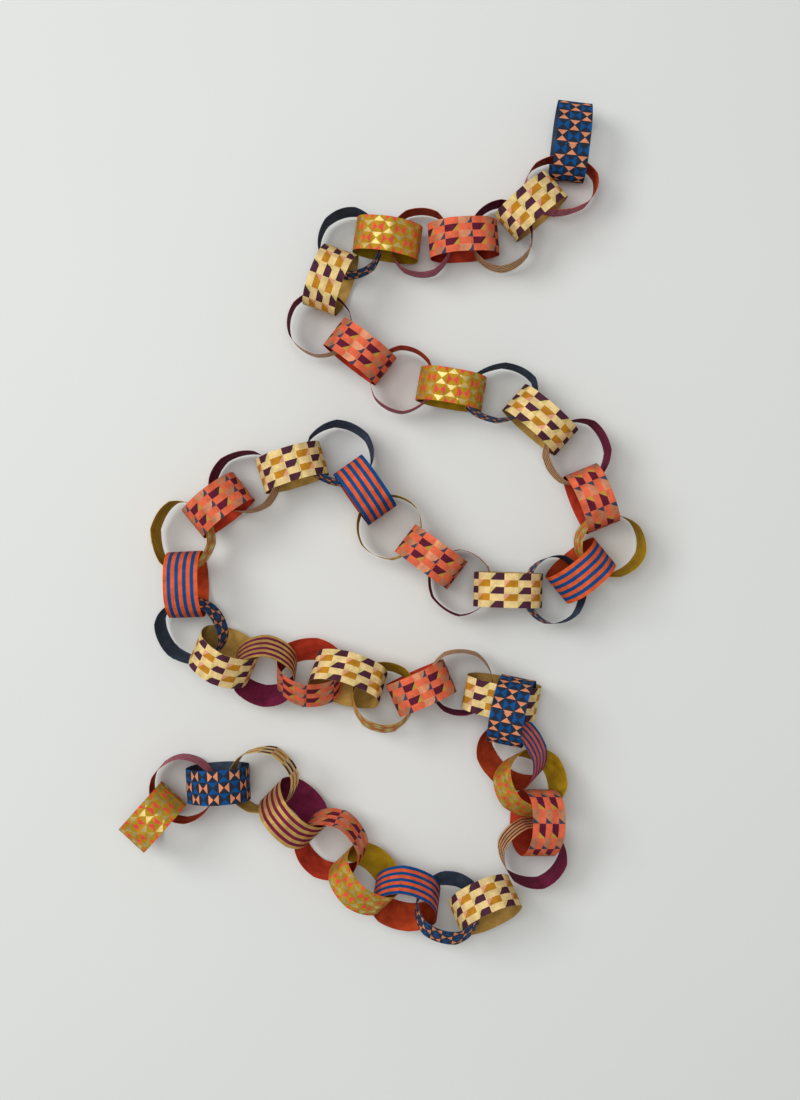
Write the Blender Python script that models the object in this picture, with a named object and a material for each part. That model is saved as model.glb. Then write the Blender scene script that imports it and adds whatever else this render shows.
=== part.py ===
"""Paper chain garland, laid in loose curves on a table.

Each loop is one printed paper strip, bent round and glued to itself at a short lap, and
threaded through the loop before it. The strip keeps its length, so a loop that lies longer is
also lower. LAY gives every loop its paper and the way it lies, and settle() then frees each
loop from its neighbours by small shifts and turns and lets it come to rest on them.
Metres, +Z up. The origin is on the table, under the middle of the whole garland.
"""

import math

import bpy
import numpy as np
from mathutils import Matrix

MM = 0.001
STRIP_LENGTH = 0.207
STRIP_WIDTH = 0.0335
PAPER_THICKNESS = 0.0003
GLUED_LAP = 0.012
TOUCH_GAP = 0.0003

OUTLINE_POINTS = 22
LAP_STEP = 0.0002

# How settle() searches: rounds of tries, the first step in mm and degrees, and what each round
# leaves of it. A loop whose unease is over RESTLESS gets more tries.
SETTLE_SEED = 7
SETTLE_ROUNDS = 56
FIRST_STEP = 3.0
STEP_KEPT = 0.945
RESTLESS = 12.0
TRIES = 7
TRIES_RESTLESS = 14
STATIONS = 56
STATIONS_ACROSS = 7

# What unease() counts, for each square mm of trespass, of gap in a link and below the table,
# for each mm above the table, and for each square mm and square degree away from the row.
TRESPASS_COST = 4.0
LINK_GAP_COST = 3.0
SUNK_COST = 20.0
LIFTED_COST = 0.4
SHIFT_COST = 0.10
TURN_COST = 0.03

# The face print of each paper, with its colour, roughness and metallic value.
PAPERS = {
    "navy_hourglass": ((0.016, 0.027, 0.045), 0.60, 0.0),
    "cream_brick": ((0.800, 0.625, 0.254), 0.62, 0.0),
    "coral_brick": ((0.807, 0.138, 0.045), 0.62, 0.0),
    "mustard_hourglass": ((0.546, 0.323, 0.014), 0.55, 0.2),
    "blue_orange_stripe": ((0.005, 0.061, 0.323), 0.60, 0.0),
    "plum_gold_stripe": ((0.162, 0.010, 0.042), 0.55, 0.2),
}
PAPER_ORDER = {
    "A": "navy_hourglass",
    "B": "cream_brick",
    "C": "coral_brick",
    "D": "mustard_hourglass",
    "E": "blue_orange_stripe",
    "F": "plum_gold_stripe",
}

# One row a loop, from the top end to the lower left end: paper, x and y in mm on the table,
# heading of the long side in degrees, roll about it, and length along it in mm. At roll 0 the
# printed face looks up, and at roll 90 the loop stands on its edge and shows as a ring. The mm
# are those of a chain whose rings are LAY_ROUND_SPAN across, and follow the strip's length.
LAY = (
    ("A", 168, 394, -92, 0, 75),
    ("E", 154, 357, 0, 90, 70),
    ("B", 131, 336, -134, 0, 65),
    ("F", 100, 311, 90, 90, 64),
    ("C", 68, 303, 186, 0, 67),
    ("E", 20, 302, 90, 90, 62),
    ("D", -17, 304, 173, 0, 67),
    ("A", -50, 301, 90, 90, 64),
    ("B", -67, 263, -110, 6, 62),
    ("F", -79, 222, 90, 90, 62),
    ("C", -41, 190, -39, 0, 66),
    ("E", -5, 161, 0, 90, 62),
    ("D", 48, 154, -6, 0, 65),
    ("A", 98, 155, 0, 90, 71),
    ("B", 138, 126, -41, 176, 67),
    ("F", 178, 95, -90, 80, 64),
    ("C", 188, 49, -70, 176, 61),
    ("D", 202, 0, -90, 81, 60),
    ("E", 178, -22, -143, 163, 60),
    ("A", 152, -40, -90, 90, 66),
    ("B", 103, -39, 173, 177, 66),
    ("F", 62, -30, 90, 90, 64),
    ("C", 28, -4, 144, 0, 64),
    ("D", -13, 27, 0, 90, 63),
    ("E", -33, 60, 124, 0, 60),
    ("A", -61, 99, 0, 90, 66),
    ("B", -105, 86, 200, 5, 64),
    ("F", -155, 72, 0, 90, 66),
    ("C", -178, 41, 222, 0, 61),
    ("D", -213, 15, -90, 95, 68),
    ("E", -205, -36, -86, 0, 62),
    ("A", -208, -81, -45, 100, 66),
    ("B", -172, -103, -22, 24, 62),
    ("F", -129, -115, -2, 126, 62),
    ("C", -85, -124, 0, 38, 64),
    ("B", -49, -122, -17, 153, 72),
    ("D", -17, -144, 10, 71, 62),
    ("C", 21, -132, 22, 8, 62),
    ("F", 63, -121, 0, 99, 63),
    ("B", 94, -141, -14, 25, 74),
    ("A", 105, -161, -100, 0, 66),
    ("E", 114, -199, -67, 128, 66),
    ("D", 132, -227, -75, 60, 60),
    ("C", 132, -260, -93, 175, 63),
    ("F", 125, -309, 90, 90, 63),
    ("B", 88, -339, 211, 22, 64),
    ("A", 48, -354, 180, 122, 64),
    ("E", 9, -340, 175, 43, 64),
    ("D", -30, -317, 142, 142, 64),
    ("C", -70, -288, 141, 58, 64),
    ("F", -102, -253, 132, 168, 62),
    ("B", -133, -224, 175, 86, 63),
    ("A", -176, -226, 190, 177, 60),
    ("E", -212, -237, 205, 86, 62),
    ("D", -240, -261, 229, 0, 62),
)

WIDTH = STRIP_WIDTH / MM
AROUND = (STRIP_LENGTH - GLUED_LAP) / MM
PAPER = PAPER_THICKNESS / MM
# Between two middle surfaces lie two half papers, the second layer of a lap and the gap.
CLEAR = 2 * PAPER + TOUCH_GAP / MM
# The diameter of the strip bent into a true ring, and the one that LAY's lengths are read at.
ROUND_SPAN = AROUND / math.pi
LAY_ROUND_SPAN = 62.0
# No two loops can touch from further apart than this many diameters.
NEAR_SPANS = 1.37


def clear_scene():
    """Removes every object of the startup scene."""
    for obj in list(bpy.data.objects):
        bpy.data.objects.remove(obj)


def half_height(span):
    """Half the height of an oval loop of this length whose outline keeps the strip's length."""
    a = span / 2
    low, high = 0.0, AROUND / 4
    for _ in range(40):
        b = (low + high) / 2
        around = math.pi * (3 * (a + b) - math.sqrt((3 * a + b) * (a + 3 * b)))
        low, high = (b, high) if around < AROUND else (low, b)
    return b


def axes_of(heading, roll):
    """Columns: the long side, the short side and the axis that the strip's width runs along."""
    h, r = math.radians(heading), math.radians(roll)
    along = np.array([math.cos(h), math.sin(h), 0.0])
    left = np.array([-math.sin(h), math.cos(h), 0.0])
    axis = math.cos(r) * left + math.sin(r) * np.array([0.0, 0.0, 1.0])
    return np.column_stack([along, np.cross(axis, along), axis])


def turned(about):
    """The rotation matrix of a rotation vector in radians."""
    angle = float(np.linalg.norm(about))
    if angle < 1e-9:
        return np.eye(3)
    x, y, z = about / angle
    k = np.array([[0, -z, y], [z, 0, -x], [-y, x, 0]])
    return np.eye(3) + math.sin(angle) * k + (1 - math.cos(angle)) * (k @ k)


class Lay:
    """The place and turn of every loop, and the measure of how well they lie."""

    def __init__(self):
        stretch = ROUND_SPAN / LAY_ROUND_SPAN
        self.half = [(row[5] * stretch / 2, half_height(row[5] * stretch)) for row in LAY]
        self.wanted_turn = [axes_of(row[3], row[4]) for row in LAY]
        self.wanted = []
        for row, (a, b), axes in zip(LAY, self.half, self.wanted_turn):
            rise = math.hypot(a * axes[2, 0], b * axes[2, 1]) + WIDTH / 2 * abs(axes[2, 2])
            self.wanted.append(np.array([row[1] * stretch, row[2] * stretch, rise + PAPER / 2]))
        self.place = [spot.copy() for spot in self.wanted]
        self.turn = [axes.copy() for axes in self.wanted_turn]
        angle = np.linspace(0, 2 * math.pi, STATIONS, endpoint=False)[:, None]
        across = np.linspace(-WIDTH / 2, WIDTH / 2, STATIONS_ACROSS)[None, :]
        self.own = []
        for a, b in self.half:
            parts = np.broadcast_arrays(a * np.cos(angle), b * np.sin(angle), across)
            self.own.append(np.stack(parts, axis=-1))
        self.world = [self.points(i) for i in range(len(LAY))]

    def points(self, i):
        """The loop's middle surface as points on the table's axes."""
        return self.own[i] @ self.turn[i].T + self.place[i]

    def trespass(self, i, j):
        """How far loop i's points reach into loop j's paper, squared and summed, and their gap."""
        at = (self.world[i] - self.place[j]) @ self.turn[j]
        a, b = self.half[j]
        u, v, w = at[..., 0], at[..., 1], np.abs(at[..., 2])
        slope = 2 * np.hypot(u / a**2, v / b**2) + 1e-9
        off = ((u / a) ** 2 + (v / b) ** 2 - 1) / slope
        side = off > 0
        crosses = (side != np.roll(side, 1, 0)) | (side != np.roll(side, -1, 0))
        crosses[:, 1:] |= side[:, 1:] != side[:, :-1]
        crosses[:, :-1] |= side[:, 1:] != side[:, :-1]
        past = WIDTH / 2 + CLEAR - w
        deep = np.where(crosses, past, np.minimum(past, CLEAR - np.abs(off)))
        reach = np.hypot(off, np.maximum(0, w - WIDTH / 2))
        return float((np.maximum(deep, 0) ** 2).sum()), float(reach.min())

    def near(self, i):
        """The loops whose centres are close enough to touch loop i."""
        spots = np.array(self.place)
        away = np.linalg.norm(spots - spots[i], axis=1)
        return [j for j in range(len(LAY)) if j != i and away[j] < NEAR_SPANS * ROUND_SPAN]

    def unease(self, i, others):
        """What is wrong with loop i: paper in paper or table, no contact, and away from its row."""
        total = 0.0
        for j in others:
            mine, gap = self.trespass(i, j)
            theirs, gap_back = self.trespass(j, i)
            total += TRESPASS_COST * (mine + theirs)
            if abs(i - j) == 1:
                total += LINK_GAP_COST * max(0.0, min(gap, gap_back) - CLEAR) ** 2
        lowest = self.world[i][..., 2].min() - PAPER / 2
        total += SUNK_COST * min(lowest, 0.0) ** 2 + LIFTED_COST * max(lowest, 0.0)
        shift = self.place[i] - self.wanted[i]
        total += SHIFT_COST * (shift[0] ** 2 + shift[1] ** 2)
        trace = np.trace(self.wanted_turn[i] @ self.turn[i].T)
        twist = math.degrees(math.acos(max(-1.0, min(1.0, (trace - 1) / 2))))
        total += TURN_COST * twist**2
        return total

    def settle(self):
        """Tries small seeded shifts and turns of each loop and keeps those that ease it."""
        tries = np.random.default_rng(SETTLE_SEED)
        for round_number in range(SETTLE_ROUNDS):
            step = FIRST_STEP * STEP_KEPT**round_number
            for i in tries.permutation(len(LAY)):
                others = self.near(i)
                ease = self.unease(i, others)
                for _ in range(TRIES_RESTLESS if ease > RESTLESS else TRIES):
                    kept = self.place[i], self.turn[i], self.world[i]
                    shift = tries.normal(size=3) * step * tries.random()
                    twist = np.radians(tries.normal(size=3) * step * 2 * tries.random())
                    choice = tries.integers(3)
                    if choice != 1:
                        self.place[i] = self.place[i] + shift
                    if choice != 0:
                        self.turn[i] = turned(twist) @ self.turn[i]
                    self.world[i] = self.points(i)
                    now = self.unease(i, others)
                    if now < ease:
                        ease = now
                    else:
                        self.place[i], self.turn[i], self.world[i] = kept

    def centre(self):
        """Moves the whole garland over the origin and onto the table."""
        every = np.concatenate([points.reshape(-1, 3) for points in self.world])
        low, high = every.min(axis=0), every.max(axis=0)
        middle = np.array([(low[0] + high[0]) / 2, (low[1] + high[1]) / 2, low[2] - PAPER / 2])
        self.place = [spot - middle for spot in self.place]


def paper_material(name):
    """The plain material of one paper."""
    colour, roughness, metallic = PAPERS[name]
    material = bpy.data.materials.new(name)
    material.use_nodes = True
    shader = material.node_tree.nodes["Principled BSDF"]
    shader.inputs["Base Color"].default_value = (*colour, 1.0)
    shader.inputs["Roughness"].default_value = roughness
    shader.inputs["Metallic"].default_value = metallic
    return material


def oval_point(half, angle, offset):
    """A point on the oval, moved outward by offset, in metres."""
    a, b = half
    x, y = a * math.cos(angle), b * math.sin(angle)
    out = np.array([x / a**2, y / b**2])
    return (np.array([x, y]) + out / np.linalg.norm(out) * offset) * MM


def build_outline(half):
    """The strip's edge as two closed lines: inside, and outside with the step of the lap."""
    lap_turn = GLUED_LAP / MM / half[0]
    step_turn = LAP_STEP / MM / half[0]
    lap_start = -math.pi / 2 - lap_turn / 2
    angles = [lap_start + 2 * math.pi * k / OUTLINE_POINTS for k in range(OUTLINE_POINTS)]
    inner = [oval_point(half, angle, -PAPER / 2) for angle in angles]
    corners = [(lap_start, 1.5), (lap_start + lap_turn, 1.5)]
    corners += [(lap_start + lap_turn + step_turn, 0.5), (lap_start - step_turn, 0.5)]
    corners += [(angle, 1.5 if angle < lap_start + lap_turn else 0.5) for angle in angles[1:]]
    corners.sort()
    outer = [oval_point(half, angle, layers * PAPER) for angle, layers in corners]
    return outer, inner


def build_loop(number, row, half, place, turn, papers, collection):
    """One paper loop: its outline in the plane, extruded to the strip's width, laid in place."""
    paper = PAPER_ORDER[row[0]]
    name = f"loop_{number:02d}_{paper}"
    curve = bpy.data.curves.new(name, "CURVE")
    curve.dimensions = "2D"
    curve.fill_mode = "BOTH"
    curve.extrude = STRIP_WIDTH / 2
    for line in build_outline(half):
        spline = curve.splines.new("POLY")
        spline.points.add(len(line) - 1)
        for point, (x, y) in zip(spline.points, line):
            point.co = (x, y, 0.0, 1.0)
        spline.use_cyclic_u = True
    curve.materials.append(papers[paper])
    loop = bpy.data.objects.new(name, curve)
    loop.location = place * MM
    loop.rotation_mode = "QUATERNION"
    loop.rotation_quaternion = Matrix(turn.tolist()).to_quaternion()
    collection.objects.link(loop)


def main():
    """Lays the garland and builds its loops."""
    clear_scene()
    collection = bpy.data.collections.new("paper_chain_garland")
    bpy.context.scene.collection.children.link(collection)
    papers = {name: paper_material(name) for name in PAPERS}
    lay = Lay()
    lay.settle()
    lay.centre()
    for i, row in enumerate(LAY):
        build_loop(i + 1, row, lay.half[i], lay.place[i], lay.turn[i], papers, collection)


main()
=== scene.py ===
"""Paper chain garland: the printed paper loops, laid on a pale table and seen from above.

Each CAD loop gives the place, turn and oval of one strip. A fine strip of paper is then worked
out on that oval, glued to itself at its lap, and printed on its outer face. Metres, +Z up.
"""

import logging
import math
from dataclasses import dataclass
from enum import Enum

import bpy
import numpy as np
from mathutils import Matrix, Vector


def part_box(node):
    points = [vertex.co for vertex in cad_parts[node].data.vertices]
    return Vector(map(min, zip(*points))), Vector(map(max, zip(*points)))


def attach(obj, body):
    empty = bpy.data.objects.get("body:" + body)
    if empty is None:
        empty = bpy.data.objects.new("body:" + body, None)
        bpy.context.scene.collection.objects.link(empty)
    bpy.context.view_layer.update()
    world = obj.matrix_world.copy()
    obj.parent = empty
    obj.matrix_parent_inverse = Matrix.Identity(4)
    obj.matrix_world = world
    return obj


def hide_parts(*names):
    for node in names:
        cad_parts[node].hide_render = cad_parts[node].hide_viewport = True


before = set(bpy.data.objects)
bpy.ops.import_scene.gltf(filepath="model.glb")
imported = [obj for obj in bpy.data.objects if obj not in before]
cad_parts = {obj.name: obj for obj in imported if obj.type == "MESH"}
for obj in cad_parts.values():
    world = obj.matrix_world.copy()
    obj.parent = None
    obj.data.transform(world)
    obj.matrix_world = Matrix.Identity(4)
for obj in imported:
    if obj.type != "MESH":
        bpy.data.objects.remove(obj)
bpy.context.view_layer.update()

LOG = logging.getLogger("garland")
MM = 0.001

STRIP_LENGTH = 207.0
STRIP_WIDTH = 33.5
PAPER_THICKNESS = 0.3
GLUED_LAP = 12.0
STEPS_ALONG = 156
STEPS_ACROSS = 10
FINE_STEPS = 4000
SHARP_EDGE = math.radians(40)

# How a CAD loop is read: the smallest face that counts, in mm2 twice over, how far a wall's
# normal may lean towards the width, an oval so near a circle that only the lap gives its turn,
# in mm, and how far the lap's points stand off the oval, in thicknesses of the paper.
SMALLEST_FACE = 1e-6
WALL_LEAN = 0.1
NEARLY_ROUND = 1.0
LAP_STANDS_OFF = 1.1
ANY_DIRECTION = [0.3, 0.5, 0.81]

# A CAD node is named loop_NN_ and its paper's slot.
NUMBERED_NAME = len("loop_NN")

# The middle of the photograph, (400, 550) px, on the table's axes. One px is one mm there.
VIEW_MIDDLE = (16.9 * MM, -28.0 * MM)
CAMERA_HEIGHT = 1.5
PHOTO_HEIGHT = 1.1
SENSOR = 36.0


def linear(colour: str) -> tuple[float, float, float, float]:
    """Turns an sRGB hex colour to linear light.

    Args:
        colour: six hex digits after a #.

    Returns:
        The linear red, green and blue, and an alpha of 1.
    """
    parts = [int(colour[at : at + 2], 16) / 255 for at in (1, 3, 5)]
    red, green, blue = (
        part / 12.92 if part <= 0.04045 else ((part + 0.055) / 1.055) ** 2.4 for part in parts
    )
    return red, green, blue, 1.0


class Design(Enum):
    """The designs that the papers are printed with."""

    HOURGLASS = "hourglass blocks"
    BRICK = "brick blocks with a slanted end"
    STRIPE = "stripes along the strip"


@dataclass(frozen=True)
class PrintedPaper:
    """One paper: heavy matte craft paper with a cotton-like tooth, screen printed on its face.

    The first ink is on the even cells or stripes and the second on the odd ones. A shine of 1 is
    a metallic ink, whose flakes catch the lamp, and 0 is a flat one. The strips are cut out of
    the printed sheet cut_at mm past the edge of a row of cells.
    """

    slot: str
    design: Design
    ground: str
    first: str
    second: str
    back: str
    # The second back colour is painted shade: a darker copy of the back, laid in random patches
    # over it.
    back_painted_shade: str
    edge: str
    first_tip: str = "#000000"
    second_tip: str = "#000000"
    first_shine: float = 0.0
    second_shine: float = 0.0
    ground_shine: float = 0.0
    cut_at: float = 0.0


PAPERS = {
    paper.slot: paper
    for paper in (
        PrintedPaper(
            slot="navy_hourglass",
            design=Design.HOURGLASS,
            ground="#222c3a",
            first="#d98a64",
            second="#0a4a86",
            back="#435066",
            back_painted_shade="#2d3745",
            edge="#4c586a",
        ),
        PrintedPaper(
            slot="cream_brick",
            design=Design.BRICK,
            ground="#e2c588",
            first="#4a2434",
            first_tip="#c9b870",
            second="#b97d1e",
            second_tip="#dd9c7c",
            back="#c49c54",
            back_painted_shade="#a17a34",
            edge="#c9ab62",
        ),
        PrintedPaper(
            slot="coral_brick",
            design=Design.BRICK,
            ground="#da6544",
            first="#c98462",
            first_tip="#3c4152",
            second="#5c1a2e",
            second_tip="#b8923a",
            back="#c8432a",
            back_painted_shade="#8e2416",
            edge="#d4694a",
            first_shine=0.5,
        ),
        PrintedPaper(
            slot="mustard_hourglass",
            design=Design.HOURGLASS,
            ground="#b28a1c",
            first="#dc4c40",
            second="#c9b272",
            back="#b48f18",
            back_painted_shade="#8f7010",
            edge="#bf9a34",
            second_shine=0.7,
            ground_shine=0.2,
            cut_at=STRIP_WIDTH / 6,
        ),
        PrintedPaper(
            slot="blue_orange_stripe",
            design=Design.STRIPE,
            ground="#0a4880",
            first="#0a4880",
            second="#d85a2c",
            back="#c24a24",
            back_painted_shade="#902c16",
            edge="#a84a3c",
        ),
        PrintedPaper(
            slot="plum_gold_stripe",
            design=Design.STRIPE,
            ground="#701a3a",
            first="#cda75c",
            second="#701a3a",
            back="#7c2446",
            back_painted_shade="#581730",
            edge="#7c3a4c",
            first_shine=0.6,
        ),
    )
}


class Graph:
    """A material's node tree, filled one node at a time."""

    def __init__(self, name: str) -> None:
        """Makes an empty material.

        Args:
            name: the material's name.
        """
        self.material = bpy.data.materials.new(name)
        self.material.use_nodes = True
        self.tree = self.material.node_tree
        self.tree.nodes.clear()

    def add(
        self, kind: str, settings: dict | None = None, inputs: dict | None = None
    ) -> bpy.types.Node:
        """Adds one node, sets it and links it.

        Args:
            kind: the node's type without its ShaderNode prefix.
            settings: the node's own properties.
            inputs: a value, or another node's output, for each input by name or number.

        Returns:
            The new node.
        """
        node = self.tree.nodes.new("ShaderNode" + kind)
        for name, value in (settings or {}).items():
            setattr(node, name, value)
        for socket, value in (inputs or {}).items():
            if isinstance(value, bpy.types.NodeSocket):
                self.tree.links.new(value, node.inputs[socket])
            else:
                node.inputs[socket].default_value = value
        return node

    def math(
        self, operation: str, *values: bpy.types.NodeSocket | float
    ) -> bpy.types.NodeSocket:
        """Adds a Math node.

        Args:
            operation: the node's operation.
            values: a number, or another node's output, for each input in turn.

        Returns:
            The node's output.
        """
        return self.add("Math", {"operation": operation}, dict(enumerate(values))).outputs[0]


@dataclass
class PaperFinish:
    """The three materials of one paper: its printed face, its back and its cut edge.

    Sizes are in mm. short_of_corner and short_of_end, which is measured from the block's middle,
    are shares of a block. The mottles are how far a paper's tone goes up and down while the sum
    of its two noises goes from noise_low to noise_high. The tooth is the height of its fibres.
    """

    paper: PrintedPaper
    cell_along: float = 10.75
    cell_across: float = STRIP_WIDTH / 3
    short_of_corner: float = 0.025
    short_of_end: float = 0.47
    brick_along: float = 14.0
    brick_across: float = STRIP_WIDTH / 5
    slant: float = 6.0 / 14.0
    stripe: float = STRIP_WIDTH / 9
    ink_spread: float = 0.35
    spread_scale: float = 0.8
    # The next three lay the back's patches of painted shade: the noise's scale, and the noise
    # values between which the back goes from its own colour to the shaded one.
    shade_patch_scale: float = 0.06
    shade_patch_low: float = 0.35
    shade_patch_high: float = 0.75
    nap_scale: float = 1.4
    fibre_width: float = 0.7
    fibre_length: float = 1.5
    cloud: float = 9.0
    noise_low: float = 0.72
    noise_high: float = 1.28
    print_mottle: float = 0.30
    back_mottle: float = 0.20
    tooth: float = 0.25
    tooth_strength: float = 0.6
    sheen: float = 0.12
    print_roughness: float = 0.78
    back_roughness: float = 0.85
    leaf_roughness: float = 0.30

    def uses(self) -> list[bpy.types.Material]:
        """The face, the back and the edge material, in the order of a loop's material slots."""
        return [self.face(), self.back(), self.edge()]

    def spot(self, graph: Graph) -> tuple[bpy.types.NodeSocket, ...]:
        """The place on the strip in mm, with the outlines of the ink a little uneven.

        Args:
            graph: the material's nodes.

        Returns:
            The mm along the strip, the mm across it, and the plain vector of both.
        """
        strip = graph.add("UVMap", {"uv_map": "strip_mm"}).outputs["UV"]
        spread = graph.add(
            "TexNoise", None, {"Vector": strip, "Scale": self.spread_scale, "Detail": 3.0}
        )
        centred = graph.add(
            "VectorMath", {"operation": "SUBTRACT"}, {0: spread.outputs["Color"], 1: (0.5,) * 3}
        )
        moved = graph.add(
            "VectorMath",
            {"operation": "MULTIPLY_ADD"},
            {0: centred.outputs[0], 1: (self.ink_spread,) * 3, 2: strip},
        )
        parts = graph.add("SeparateXYZ", None, {0: moved.outputs[0]})
        return parts.outputs[0], parts.outputs[1], strip

    def cell(
        self, graph: Graph, at: bpy.types.NodeSocket, size: float
    ) -> tuple[bpy.types.NodeSocket, bpy.types.NodeSocket]:
        """The number of the cell that a place is in, and how far through the cell it lies.

        Args:
            graph: the material's nodes.
            at: the place in mm.
            size: the cell's size in mm.

        Returns:
            The cell's number, and the share of the cell from 0 to 1.
        """
        cells = graph.math("DIVIDE", at, size)
        number = graph.math("FLOOR", cells)
        return number, graph.math("SUBTRACT", cells, number)

    def odd(self, graph: Graph, *numbers: bpy.types.NodeSocket) -> bpy.types.NodeSocket:
        """1 where the sum of the cell numbers is odd, else 0.

        Args:
            graph: the material's nodes.
            numbers: one or two cell numbers.

        Returns:
            The socket that holds 0 or 1.
        """
        total = numbers[0]
        for number in numbers[1:]:
            total = graph.math("ADD", total, number)
        return graph.math("FLOORED_MODULO", total, 2.0)

    def both(
        self, graph: Graph, one: bpy.types.NodeSocket, other: bpy.types.NodeSocket
    ) -> bpy.types.NodeSocket:
        """The product of two masks."""
        return graph.math("MULTIPLY", one, other)

    def without(self, graph: Graph, mask: bpy.types.NodeSocket) -> bpy.types.NodeSocket:
        """1 where the mask is 0, and 0 where it is 1."""
        return graph.math("SUBTRACT", 1.0, mask)

    def hourglass(
        self, graph: Graph, along: bpy.types.NodeSocket, across: bpy.types.NodeSocket
    ) -> list[tuple[bpy.types.NodeSocket, str, float]]:
        """Blocks in a checkerboard, each with two triangles that meet tip to tip in its middle.

        In a block's own shares from its middle, p along and q across, |p| - |q| is over a small
        margin in the triangles that stand on its ends, and under minus that margin in those that
        stand on its sides. Even blocks keep the first pair, a little short of the block's ends,
        and odd ones the second.

        Args:
            graph: the material's nodes.
            along: the mm along the strip.
            across: the mm across it.

        Returns:
            Each ink's mask, colour and shine.
        """
        number_along, share_along = self.cell(graph, along, self.cell_along)
        number_across, share_across = self.cell(graph, across, self.cell_across)
        off_along, off_across = (
            graph.math("ABSOLUTE", graph.math("SUBTRACT", share, 0.5))
            for share in (share_along, share_across)
        )
        lead = graph.math("SUBTRACT", off_along, off_across)
        on_ends = graph.math("GREATER_THAN", lead, self.short_of_corner)
        on_sides = graph.math("LESS_THAN", lead, -self.short_of_corner)
        clear_of_end = graph.math("LESS_THAN", off_along, self.short_of_end)
        odd = self.odd(graph, number_along, number_across)
        even = self.both(graph, self.without(graph, odd), clear_of_end)
        return [
            (self.both(graph, on_ends, even), self.paper.first, self.paper.first_shine),
            (self.both(graph, on_sides, odd), self.paper.second, self.paper.second_shine),
        ]

    def brick(
        self, graph: Graph, along: bpy.types.NodeSocket, across: bpy.types.NodeSocket
    ) -> list[tuple[bpy.types.NodeSocket, str, float]]:
        """Bricks in a checkerboard, each with its end cut on a slant and the corner in a tip ink.

        Rows across the strip take the two inks in turn. With p along and q across as shares of
        the brick, the corner is where p is over 1 - slant * (1 - q).

        Args:
            graph: the material's nodes.
            along: the mm along the strip.
            across: the mm across it.

        Returns:
            Each ink's mask, colour and shine.
        """
        number_along, share_along = self.cell(graph, along, self.brick_along)
        number_across, share_across = self.cell(graph, across, self.brick_across)
        inked = self.without(graph, self.odd(graph, number_along, number_across))
        odd_row = self.odd(graph, number_across)
        limit = graph.math("MULTIPLY_ADD", share_across, self.slant, 1.0 - self.slant)
        tip = self.both(graph, inked, graph.math("GREATER_THAN", share_along, limit))
        paper = self.paper
        even_row = self.without(graph, odd_row)
        inks = []
        for row, body, end, shine in (
            (even_row, paper.first, paper.first_tip, paper.first_shine),
            (odd_row, paper.second, paper.second_tip, paper.second_shine),
        ):
            inks.append((self.both(graph, inked, row), body, shine))
            inks.append((self.both(graph, tip, row), end, 0.0))
        return inks

    def stripes(
        self, graph: Graph, across: bpy.types.NodeSocket
    ) -> list[tuple[bpy.types.NodeSocket, str, float]]:
        """Nine stripes of two inks in turn, all along the strip.

        Args:
            graph: the material's nodes.
            across: the mm across the strip.

        Returns:
            Each ink's mask, colour and shine.
        """
        number, _ = self.cell(graph, across, self.stripe)
        odd = self.odd(graph, number)
        return [
            (self.without(graph, odd), self.paper.first, self.paper.first_shine),
            (odd, self.paper.second, self.paper.second_shine),
        ]

    def mottled(
        self,
        graph: Graph,
        colour: bpy.types.NodeSocket,
        strip: bpy.types.NodeSocket,
        strength: float,
    ) -> tuple[bpy.types.NodeSocket, bpy.types.NodeSocket]:
        """Paper's own uneven tone: soft clouds, and fibres that lie along the strip.

        Args:
            graph: the material's nodes.
            colour: the colour before.
            strip: the place on the strip in mm.
            strength: how far the tone goes down and up, as a share.

        Returns:
            The colour after, and the height of the fibres for a bump.
        """
        along_fibres = (1 / self.fibre_length, 1 / self.fibre_width, 1.0)
        longer = graph.add("Mapping", None, {"Vector": strip, "Scale": along_fibres})
        fibres = graph.add(
            "TexNoise",
            None,
            {"Vector": longer.outputs[0], "Scale": 1.0, "Detail": 4.0, "Roughness": 0.65},
        ).outputs[0]
        clouds = graph.add(
            "TexNoise", None, {"Vector": strip, "Scale": 1 / self.cloud, "Detail": 3.0}
        ).outputs[0]
        tone = graph.math("ADD", fibres, clouds)
        low, high = self.noise_low, self.noise_high
        value = graph.add(
            "MapRange", None, {0: tone, 1: low, 2: high, 3: 1.0 - strength, 4: 1.0 + strength}
        ).outputs[0]
        after = graph.add("HueSaturation", None, {"Value": value, "Color": colour})
        return after.outputs[0], fibres

    def shaded(
        self,
        graph: Graph,
        colour: bpy.types.NodeSocket,
        shine: bpy.types.NodeSocket | None,
        height: bpy.types.NodeSocket,
        roughness: float,
    ) -> bpy.types.Material:
        """Joins a colour and a height to the shader.

        Args:
            graph: the material's nodes.
            colour: the base colour.
            shine: the metallic mask, or None for a flat ink.
            height: the height of the fibres.
            roughness: the shader's roughness where the ink is flat.

        Returns:
            The finished material.
        """
        bump = graph.add(
            "Bump",
            None,
            {"Strength": self.tooth_strength, "Distance": self.tooth * MM, "Height": height},
        ).outputs[0]
        inputs: dict = {
            "Base Color": colour,
            "Roughness": roughness,
            "Normal": bump,
            "Specular IOR Level": self.sheen,
        }
        if shine is not None:
            inputs["Metallic"] = shine
            inputs["Roughness"] = graph.add(
                "MapRange", None, {0: shine, 1: 0.0, 2: 1.0, 3: roughness, 4: self.leaf_roughness}
            ).outputs[0]
        shader = graph.add("BsdfPrincipled", None, inputs)
        graph.add("OutputMaterial", None, {"Surface": shader.outputs[0]})
        return graph.material

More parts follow.
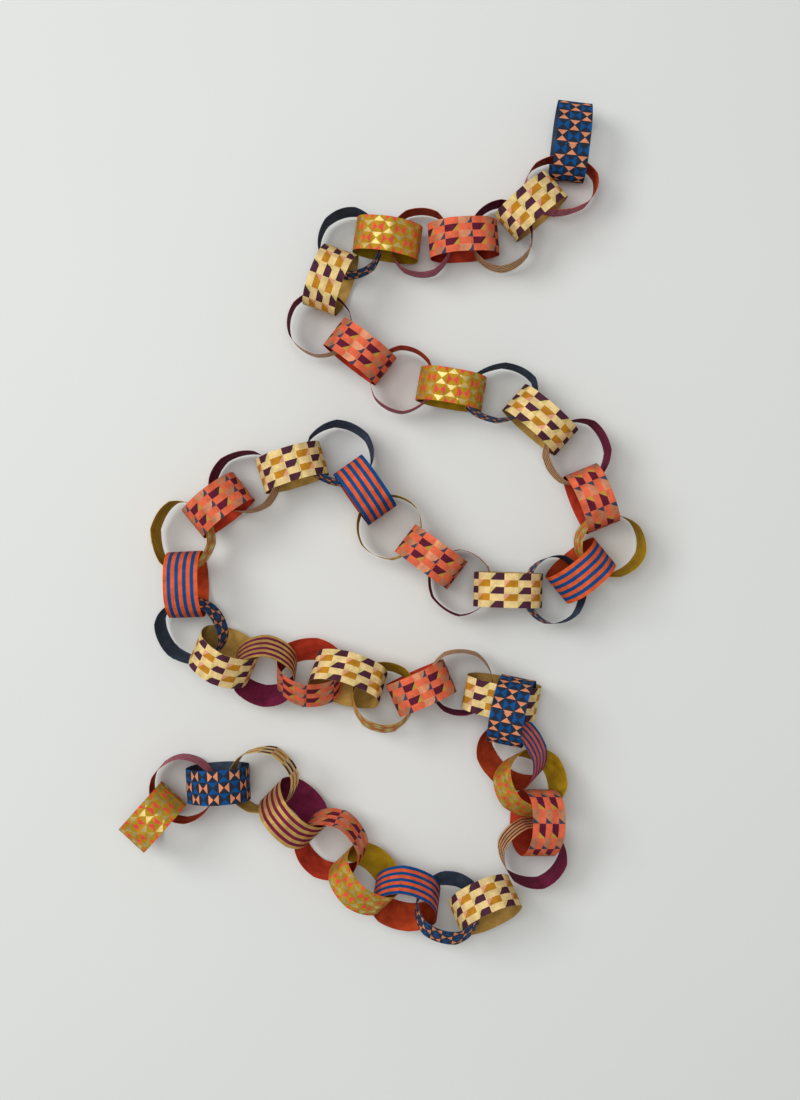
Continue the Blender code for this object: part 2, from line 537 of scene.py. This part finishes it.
    def face(self) -> bpy.types.Material:
        """The printed face: flat screen inks on matte paper, with any metallic ink as leaf."""
        graph = Graph(f"screen_print_{self.paper.slot}")
        along, across, strip = self.spot(graph)
        if self.paper.design is Design.HOURGLASS:
            inks = self.hourglass(graph, along, across)
        elif self.paper.design is Design.BRICK:
            inks = self.brick(graph, along, across)
        else:
            inks = self.stripes(graph, across)
        colour: bpy.types.NodeSocket | tuple = linear(self.paper.ground)
        shine: bpy.types.NodeSocket | float = self.paper.ground_shine
        shiny = self.paper.ground_shine > 0 or any(ink[2] > 0 for ink in inks)
        for mask, ink, ink_shine in inks:
            mixed = graph.add(
                "Mix", {"data_type": "RGBA"}, {"Factor": mask, 6: colour, 7: linear(ink)}
            )
            colour = mixed.outputs[2]
            if shiny:
                shine = graph.add("Mix", None, {0: mask, 2: shine, 3: ink_shine}).outputs[0]
        colour, fibres = self.mottled(graph, colour, strip, self.print_mottle)
        return self.shaded(graph, colour, shine if shiny else None, fibres, self.print_roughness)

    def back(self) -> bpy.types.Material:
        """The unprinted back: dyed paper in one colour, darkened in random patches of painted
        shade, so it varies more than the inks do.
        """
        graph = Graph(f"dyed_back_and_painted_shade_{self.paper.slot}")
        strip = graph.add("UVMap", {"uv_map": "strip_mm"}).outputs["UV"]
        # Random patches of painted shade darken the dyed back.
        shade_patches = graph.add("TexNoise", None, {"Vector": strip, "Scale": self.shade_patch_scale, "Detail": 4.0})
        share = graph.add(
            "MapRange", None, {0: shade_patches.outputs[0], 1: self.shade_patch_low, 2: self.shade_patch_high}
        )
        colour = graph.add(
            "Mix",
            {"data_type": "RGBA"},
            {
                "Factor": share.outputs[0],
                6: linear(self.paper.back),
                7: linear(self.paper.back_painted_shade),
            },
        ).outputs[2]
        colour, fibres = self.mottled(graph, colour, strip, self.back_mottle)
        return self.shaded(graph, colour, None, fibres, self.back_roughness)

    def edge(self) -> bpy.types.Material:
        """The cut edge: the paper's paler core, with the rough nap that scissors leave."""
        graph = Graph(f"cut_edge_{self.paper.slot}")
        strip = graph.add("UVMap", {"uv_map": "strip_mm"}).outputs["UV"]
        nap = graph.add("TexNoise", None, {"Vector": strip, "Scale": self.nap_scale, "Detail": 2.0})
        colour = graph.add(
            "Mix",
            {"data_type": "RGBA"},
            {"Factor": nap.outputs[0], 6: linear(self.paper.edge), 7: linear(self.paper.back)},
        ).outputs[2]
        return self.shaded(graph, colour, None, nap.outputs[0], self.back_roughness)


def triangles_mm(node: bpy.types.Object) -> tuple[np.ndarray, np.ndarray]:
    """Reads a CAD node's mesh.

    Args:
        node: the CAD node.

    Returns:
        Its points in mm, and three point numbers for each triangle.
    """
    mesh = node.data
    points = np.empty(len(mesh.vertices) * 3, np.float32)
    mesh.vertices.foreach_get("co", points)
    mesh.calc_loop_triangles()
    faces = np.empty(len(mesh.loop_triangles) * 3, np.int32)
    mesh.loop_triangles.foreach_get("vertices", faces)
    return points.reshape(-1, 3).astype(float) / MM, faces.reshape(-1, 3)


@dataclass
class Oval:
    """Where a CAD loop lies: its middle, its axes as columns and its half sizes, in mm.

    The columns are the long side, the short side away from the lap and the strip's width.
    """

    middle: np.ndarray
    axes: np.ndarray
    half_long: float
    half_short: float

    @classmethod
    def of_node(cls, node: bpy.types.Object, towards: np.ndarray) -> "Oval":
        """Reads the oval from the triangles of a CAD node.

        The width lies along the direction that no wall faces. The points of the inner outline
        are evenly spaced in the oval's own angle, so their mean is its middle and their spread
        gives its axes and half sizes. The lap's points stand furthest off that outline.

        Args:
            node: the CAD node.
            towards: a point in mm that the long side's positive end is nearer to.

        Returns:
            The oval.
        """
        points, faces = triangles_mm(node)
        corners = points[faces]
        normals = np.cross(corners[:, 1] - corners[:, 0], corners[:, 2] - corners[:, 0])
        areas = np.linalg.norm(normals, axis=1)
        whole = areas > SMALLEST_FACE
        unit = normals[whole] / areas[whole, None]
        width = np.linalg.eigh((unit * areas[whole, None]).T @ unit)[1][:, 0]
        rough = (points.min(axis=0) + points.max(axis=0)) / 2
        outward = ((corners[whole].mean(axis=1) - rough) * unit).sum(axis=1)
        wall = np.abs(unit @ width) < WALL_LEAN
        inside = np.unique(faces[whole][wall & (outward < 0)])
        outside = np.unique(faces[whole][wall & (outward > 0)])
        side = np.cross(width, ANY_DIRECTION)
        side /= np.linalg.norm(side)
        flat = np.stack([side, np.cross(width, side)])
        inner = np.unique(np.round(points[inside] @ flat.T, 2), axis=0)
        middle_flat = inner.mean(axis=0)
        spread, turns = np.linalg.eigh(np.cov((inner - middle_flat).T, bias=True))
        half_short, half_long = np.sqrt(2 * spread) + PAPER_THICKNESS / 2
        outer = points[outside] @ flat.T - middle_flat
        own = outer @ turns
        off = np.hypot(own[:, 1] / half_long, own[:, 0] / half_short) - 1
        lap = outer[off * half_short > LAP_STANDS_OFF * PAPER_THICKNESS].mean(axis=0)
        drawn_out = half_long - half_short > NEARLY_ROUND
        short = turns[:, 0] if drawn_out else lap / np.linalg.norm(lap)
        short = short * (-1 if short @ lap > 0 else 1)
        short_side = short @ flat
        long_side = np.cross(short_side, width)
        depth = (points @ width).min() + (points @ width).max()
        middle = middle_flat @ flat + width * depth / 2
        if long_side @ (towards - middle) < 0:
            long_side, width = -long_side, -width
        axes = np.column_stack([long_side, short_side, width])
        return cls(middle, axes, float(half_long), float(half_short))


@dataclass
class PaperLoop:
    """One strip of printed paper, bent round on its oval and glued to itself at the lap.

    The print starts print_side mm in from the sheet's edge. The waviness, the flare, the lifted
    end and the lengths over which it lifts and the paper climbs onto its own start are in mm.
    """

    node: str
    oval: Oval
    seed: int
    print_side: float = 0.0
    waviness: float = 1.0
    shallowest: float = 0.7
    deepest: float = 1.25
    slow_share: float = 0.6
    squeezed_share: float = 0.35
    twist_share: float = 0.4
    bend_sharpness: float = 0.7
    bend_outward: float = 0.7
    flare: float = 0.30
    lifted_end: float = 0.25
    end_length: float = 3.0
    leaning_in: float = 12.0

    def wave(self, angle: np.ndarray, across: np.ndarray) -> np.ndarray:
        """How far the paper stands off the true oval, in mm outward.

        Slow waves run round the loop. Six soft corners stand out of it where the paper was bent,
        the whole is squeezed a little, and one edge flares more than the other.

        Args:
            angle: the oval's own angle at each point.
            across: the place across the strip in mm at each point.

        Returns:
            The offset in mm at each point.
        """
        chance = np.random.default_rng(self.seed)
        start = chance.uniform(0, 2 * math.pi, size=5)
        depth = self.waviness * chance.uniform(self.shallowest, self.deepest)
        share = across / (STRIP_WIDTH / 2)
        slow = (np.sin(2 * angle + start[0]) + np.sin(3 * angle + start[1])) / 2
        bends = -(np.abs(np.sin(3 * angle + start[2])) ** self.bend_sharpness)
        bends += self.squeezed_share * np.cos(2 * angle + start[2])
        twist = self.twist_share * share * np.sin(4 * angle + start[4])
        flared = share * np.sin(angle + start[3]) + twist
        waves = self.slow_share * slow + bends + self.bend_outward
        return depth * waves + self.flare * flared

    def angles(self) -> np.ndarray:
        """The oval's own angle at each step along the strip, evenly spaced in length.

        Returns:
            One angle for each step.
        """
        half_long, half_short = self.oval.half_long, self.oval.half_short
        turn_of_lap = GLUED_LAP / half_long
        first = -math.pi / 2 - turn_of_lap / 2
        fine = np.linspace(first, first + 2 * math.pi + 1.5 * turn_of_lap, FINE_STEPS)
        speed = np.hypot(half_long * np.sin(fine), half_short * np.cos(fine))
        length = np.concatenate([[0], np.cumsum((speed[1:] + speed[:-1]) / 2 * np.diff(fine))])
        return np.interp(np.linspace(0, STRIP_LENGTH, STEPS_ALONG), length, fine)

    def strip(self) -> tuple[np.ndarray, np.ndarray, np.ndarray]:
        """The middle surface of the strip as a grid, with its outward directions.

        The point at angle t is (long cos t, short sin t), moved outward by the wave, by one
        paper's thickness where the strip lies on its own start, and by the lift of its end.

        Returns:
            The points and outward directions as along x across x 3 arrays, and the UV in mm.
        """
        angle = self.angles()[:, None]
        along = np.linspace(0, STRIP_LENGTH, STEPS_ALONG)[:, None]
        across = np.linspace(-STRIP_WIDTH / 2, STRIP_WIDTH / 2, STEPS_ACROSS)[None, :]
        angle, along, across = np.broadcast_arrays(angle, along, across)
        x = self.oval.half_long * np.cos(angle)
        y = self.oval.half_short * np.sin(angle)
        out = np.stack(
            [np.cos(angle) / self.oval.half_long, np.sin(angle) / self.oval.half_short], -1
        )
        out /= np.linalg.norm(out, axis=-1, keepdims=True)
        on_top = STRIP_LENGTH - GLUED_LAP
        climb = np.clip((along - on_top + self.leaning_in) / self.leaning_in, 0, 1)
        climb = climb * climb * (3 - 2 * climb)
        tip = np.clip((along - STRIP_LENGTH + self.end_length) / self.end_length, 0, 1) ** 2
        offset = self.wave(angle, across) + climb * PAPER_THICKNESS + tip * self.lifted_end
        flat = np.stack([x, y], -1) + out * offset[..., None]
        local = np.concatenate([flat, across[..., None]], -1)
        facing = np.concatenate([out, np.zeros_like(out[..., :1])], -1)
        uv = np.stack([along, across + STRIP_WIDTH / 2 + self.print_side], -1)
        return local @ self.oval.axes.T + self.oval.middle, facing @ self.oval.axes.T, uv

    def build(self, finish: list[bpy.types.Material]) -> bpy.types.Object:
        """Makes the paper strip: a face, a back and four cut edges, none of it in the table.

        Args:
            finish: the face, back and edge materials.

        Returns:
            The finished piece.
        """
        points, facing, uv = self.strip()
        points[..., 2] = np.maximum(points[..., 2], PAPER_THICKNESS)
        count = STEPS_ALONG * STEPS_ACROSS
        half = PAPER_THICKNESS / 2
        both_sides = np.concatenate(
            [(points + facing * half).reshape(-1, 3), (points - facing * half).reshape(-1, 3)]
        )
        at = np.arange(count).reshape(STEPS_ALONG, STEPS_ACROSS)
        quads = np.stack([at[:-1, :-1], at[1:, :-1], at[1:, 1:], at[:-1, 1:]], -1).reshape(-1, 4)
        rims = []
        for line in (at[:, 0][::-1], at[:, -1], at[0, :], at[-1, :][::-1]):
            rims.append(
                np.stack([line[:-1], line[1:], line[1:] + count, line[:-1] + count], -1)
            )
        rim = np.concatenate(rims)
        faces = np.concatenate([quads, quads[:, ::-1] + count, rim])
        if np.linalg.det(self.oval.axes) < 0:
            faces = faces[:, ::-1]
        mesh = bpy.data.meshes.new(self.node)
        mesh.from_pydata((both_sides * MM).tolist(), [], faces.tolist())
        part = np.repeat([0, 1, 2], [len(quads), len(quads), len(rim)]).astype(np.int32)
        mesh.polygons.foreach_set("material_index", part)
        for material in finish:
            mesh.materials.append(material)
        vertex = np.empty(len(mesh.loops), np.int32)
        mesh.loops.foreach_get("vertex_index", vertex)
        layer = mesh.uv_layers.new(name="strip_mm")
        flat_uv = np.tile(uv.reshape(-1, 2), (2, 1))
        layer.data.foreach_set("uv", flat_uv[vertex].astype(np.float32).ravel())
        mesh.shade_smooth()
        mesh.set_sharp_from_angle(angle=SHARP_EDGE)
        mesh.update()
        piece = bpy.data.objects.new("printed_" + self.node[:NUMBERED_NAME], mesh)
        bpy.context.scene.collection.objects.link(piece)
        return piece


@dataclass
class Garland:
    """The whole chain, one printed loop for each CAD loop.

    The print of most loops runs on towards the next loop, and of the turned ones back towards
    the one before. The shifted ones were cut one stripe further across the sheet.
    """

    first_seed: int = 40
    turned: tuple[int, ...] = (5, 9, 15, 17, 21, 23, 27, 29, 33, 44)
    shifted: tuple[int, ...] = (2, 19, 31)

    def build(self) -> None:
        """Builds every loop and puts it in the place of its CAD node."""
        names = sorted(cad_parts)
        finishes = {slot: PaperFinish(paper).uses() for slot, paper in PAPERS.items()}
        middles = [
            (np.array(low) + np.array(high)) / 2 / MM for low, high in map(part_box, names)
        ]
        for place, name in enumerate(names):
            number = place + 1
            at_end = number == len(names)
            first, second = (place - 1, place) if at_end else (place, number)
            onward = middles[second] - middles[first]
            if number in self.turned:
                onward = -onward
            slot = name[NUMBERED_NAME + 1 :]
            oval = Oval.of_node(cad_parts[name], middles[place] + onward)
            side = PAPERS[slot].cut_at + (STRIP_WIDTH / 9 if number in self.shifted else 0.0)
            seed = self.first_seed + place
            loop = PaperLoop(node=name, oval=oval, seed=seed, print_side=side)
            piece = loop.build(finishes[slot])
            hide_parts(name)
            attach(piece, "root")
            LOG.info(
                "%s: %.1f by %.1f mm oval", piece.name, 2 * oval.half_long, 2 * oval.half_short
            )


@dataclass(frozen=True)
class Lamp:
    """A round soft lamp: its place, its width in metres, and the share of the light it gives."""

    name: str
    place: tuple[float, float, float]
    width: float
    share: float

    def watts(self) -> float:
        """The power at which a level white sheet at the origin would show the lamp's share.

        A disc of power P at distance d lights the sheet by P cos(a) / (pi d d), with a the angle
        from straight up, and the sheet sends out that light over pi.
        """
        distance = math.dist(self.place, (0.0, 0.0, 0.0))
        return self.share * math.pi**2 * distance**3 / self.place[2]


@dataclass
class Studio:
    """The pale table, the soft lamps, the even sky light and the camera."""

    table_colour: str = "#dddfdc"
    table_size: float = 8.0
    sky: float = 0.33
    lamps: tuple[Lamp, ...] = (
        Lamp("overhead_softbox", (-0.3, 0.2, 3.0), 2.0, 0.42),
        Lamp("window", (-2.5, 1.1, 2.9), 2.1, 0.31),
    )

    def table(self) -> None:
        """Makes the table top: smooth painted board with the faintest unevenness."""
        half = self.table_size / 2
        mesh = bpy.data.meshes.new("table_top")
        corners = [(-half, -half, 0), (half, -half, 0), (half, half, 0), (-half, half, 0)]
        mesh.from_pydata(corners, [], [(0, 1, 2, 3)])
        graph = Graph("painted_board")
        at = graph.add("TexCoord").outputs["Object"]
        grain = graph.add("TexNoise", None, {"Vector": at, "Scale": 3.0, "Detail": 2.0})
        tone = graph.add("MapRange", None, {0: grain.outputs[0], 3: 0.985, 4: 1.015})
        colour = graph.add(
            "HueSaturation",
            None,
            {"Value": tone.outputs[0], "Color": linear(self.table_colour)},
        )
        shader = graph.add(
            "BsdfPrincipled",
            None,
            {"Base Color": colour.outputs[0], "Roughness": 0.9, "Specular IOR Level": 0.1},
        )
        graph.add("OutputMaterial", None, {"Surface": shader.outputs[0]})
        mesh.materials.append(graph.material)
        table = bpy.data.objects.new("table_top", mesh)
        bpy.context.scene.collection.objects.link(table)

    def light(self) -> None:
        """Sets the even sky light and the soft lamps."""
        world = bpy.data.worlds.new("soft_sky")
        world.use_nodes = True
        background = world.node_tree.nodes["Background"]
        background.inputs["Color"].default_value = (1.0, 1.0, 1.0, 1.0)
        background.inputs["Strength"].default_value = self.sky
        bpy.context.scene.world = world
        for lamp in self.lamps:
            light = bpy.data.lights.new(lamp.name, "AREA")
            light.shape = "DISK"
            light.size = lamp.width
            light.energy = lamp.watts()
            holder = bpy.data.objects.new(lamp.name, light)
            bpy.context.scene.collection.objects.link(holder)
            holder.location = lamp.place
            x, y, z = -np.array(lamp.place) / np.linalg.norm(lamp.place)
            holder.rotation_euler = (math.acos(-z), 0.0, math.atan2(y, x) - math.pi / 2)

    def camera(self) -> None:
        """Looks straight down over the middle of the photograph."""
        lens = bpy.data.cameras.new("overhead")
        lens.sensor_fit = "AUTO"
        lens.sensor_width = SENSOR
        lens.lens = SENSOR * CAMERA_HEIGHT / PHOTO_HEIGHT
        holder = bpy.data.objects.new("overhead", lens)
        bpy.context.scene.collection.objects.link(holder)
        holder.location = (*VIEW_MIDDLE, CAMERA_HEIGHT)
        bpy.context.scene.camera = holder

    def build(self) -> None:
        """Builds the table, the lights and the camera, and sets how colour is shown."""
        self.table()
        self.light()
        self.camera()
        bpy.context.scene.view_settings.view_transform = "Standard"


def main() -> None:
    """Builds the studio and the garland."""
    logging.basicConfig(level=logging.INFO, format="%(message)s")
    Studio().build()
    Garland().build()


if __name__ == "__main__":
    main()
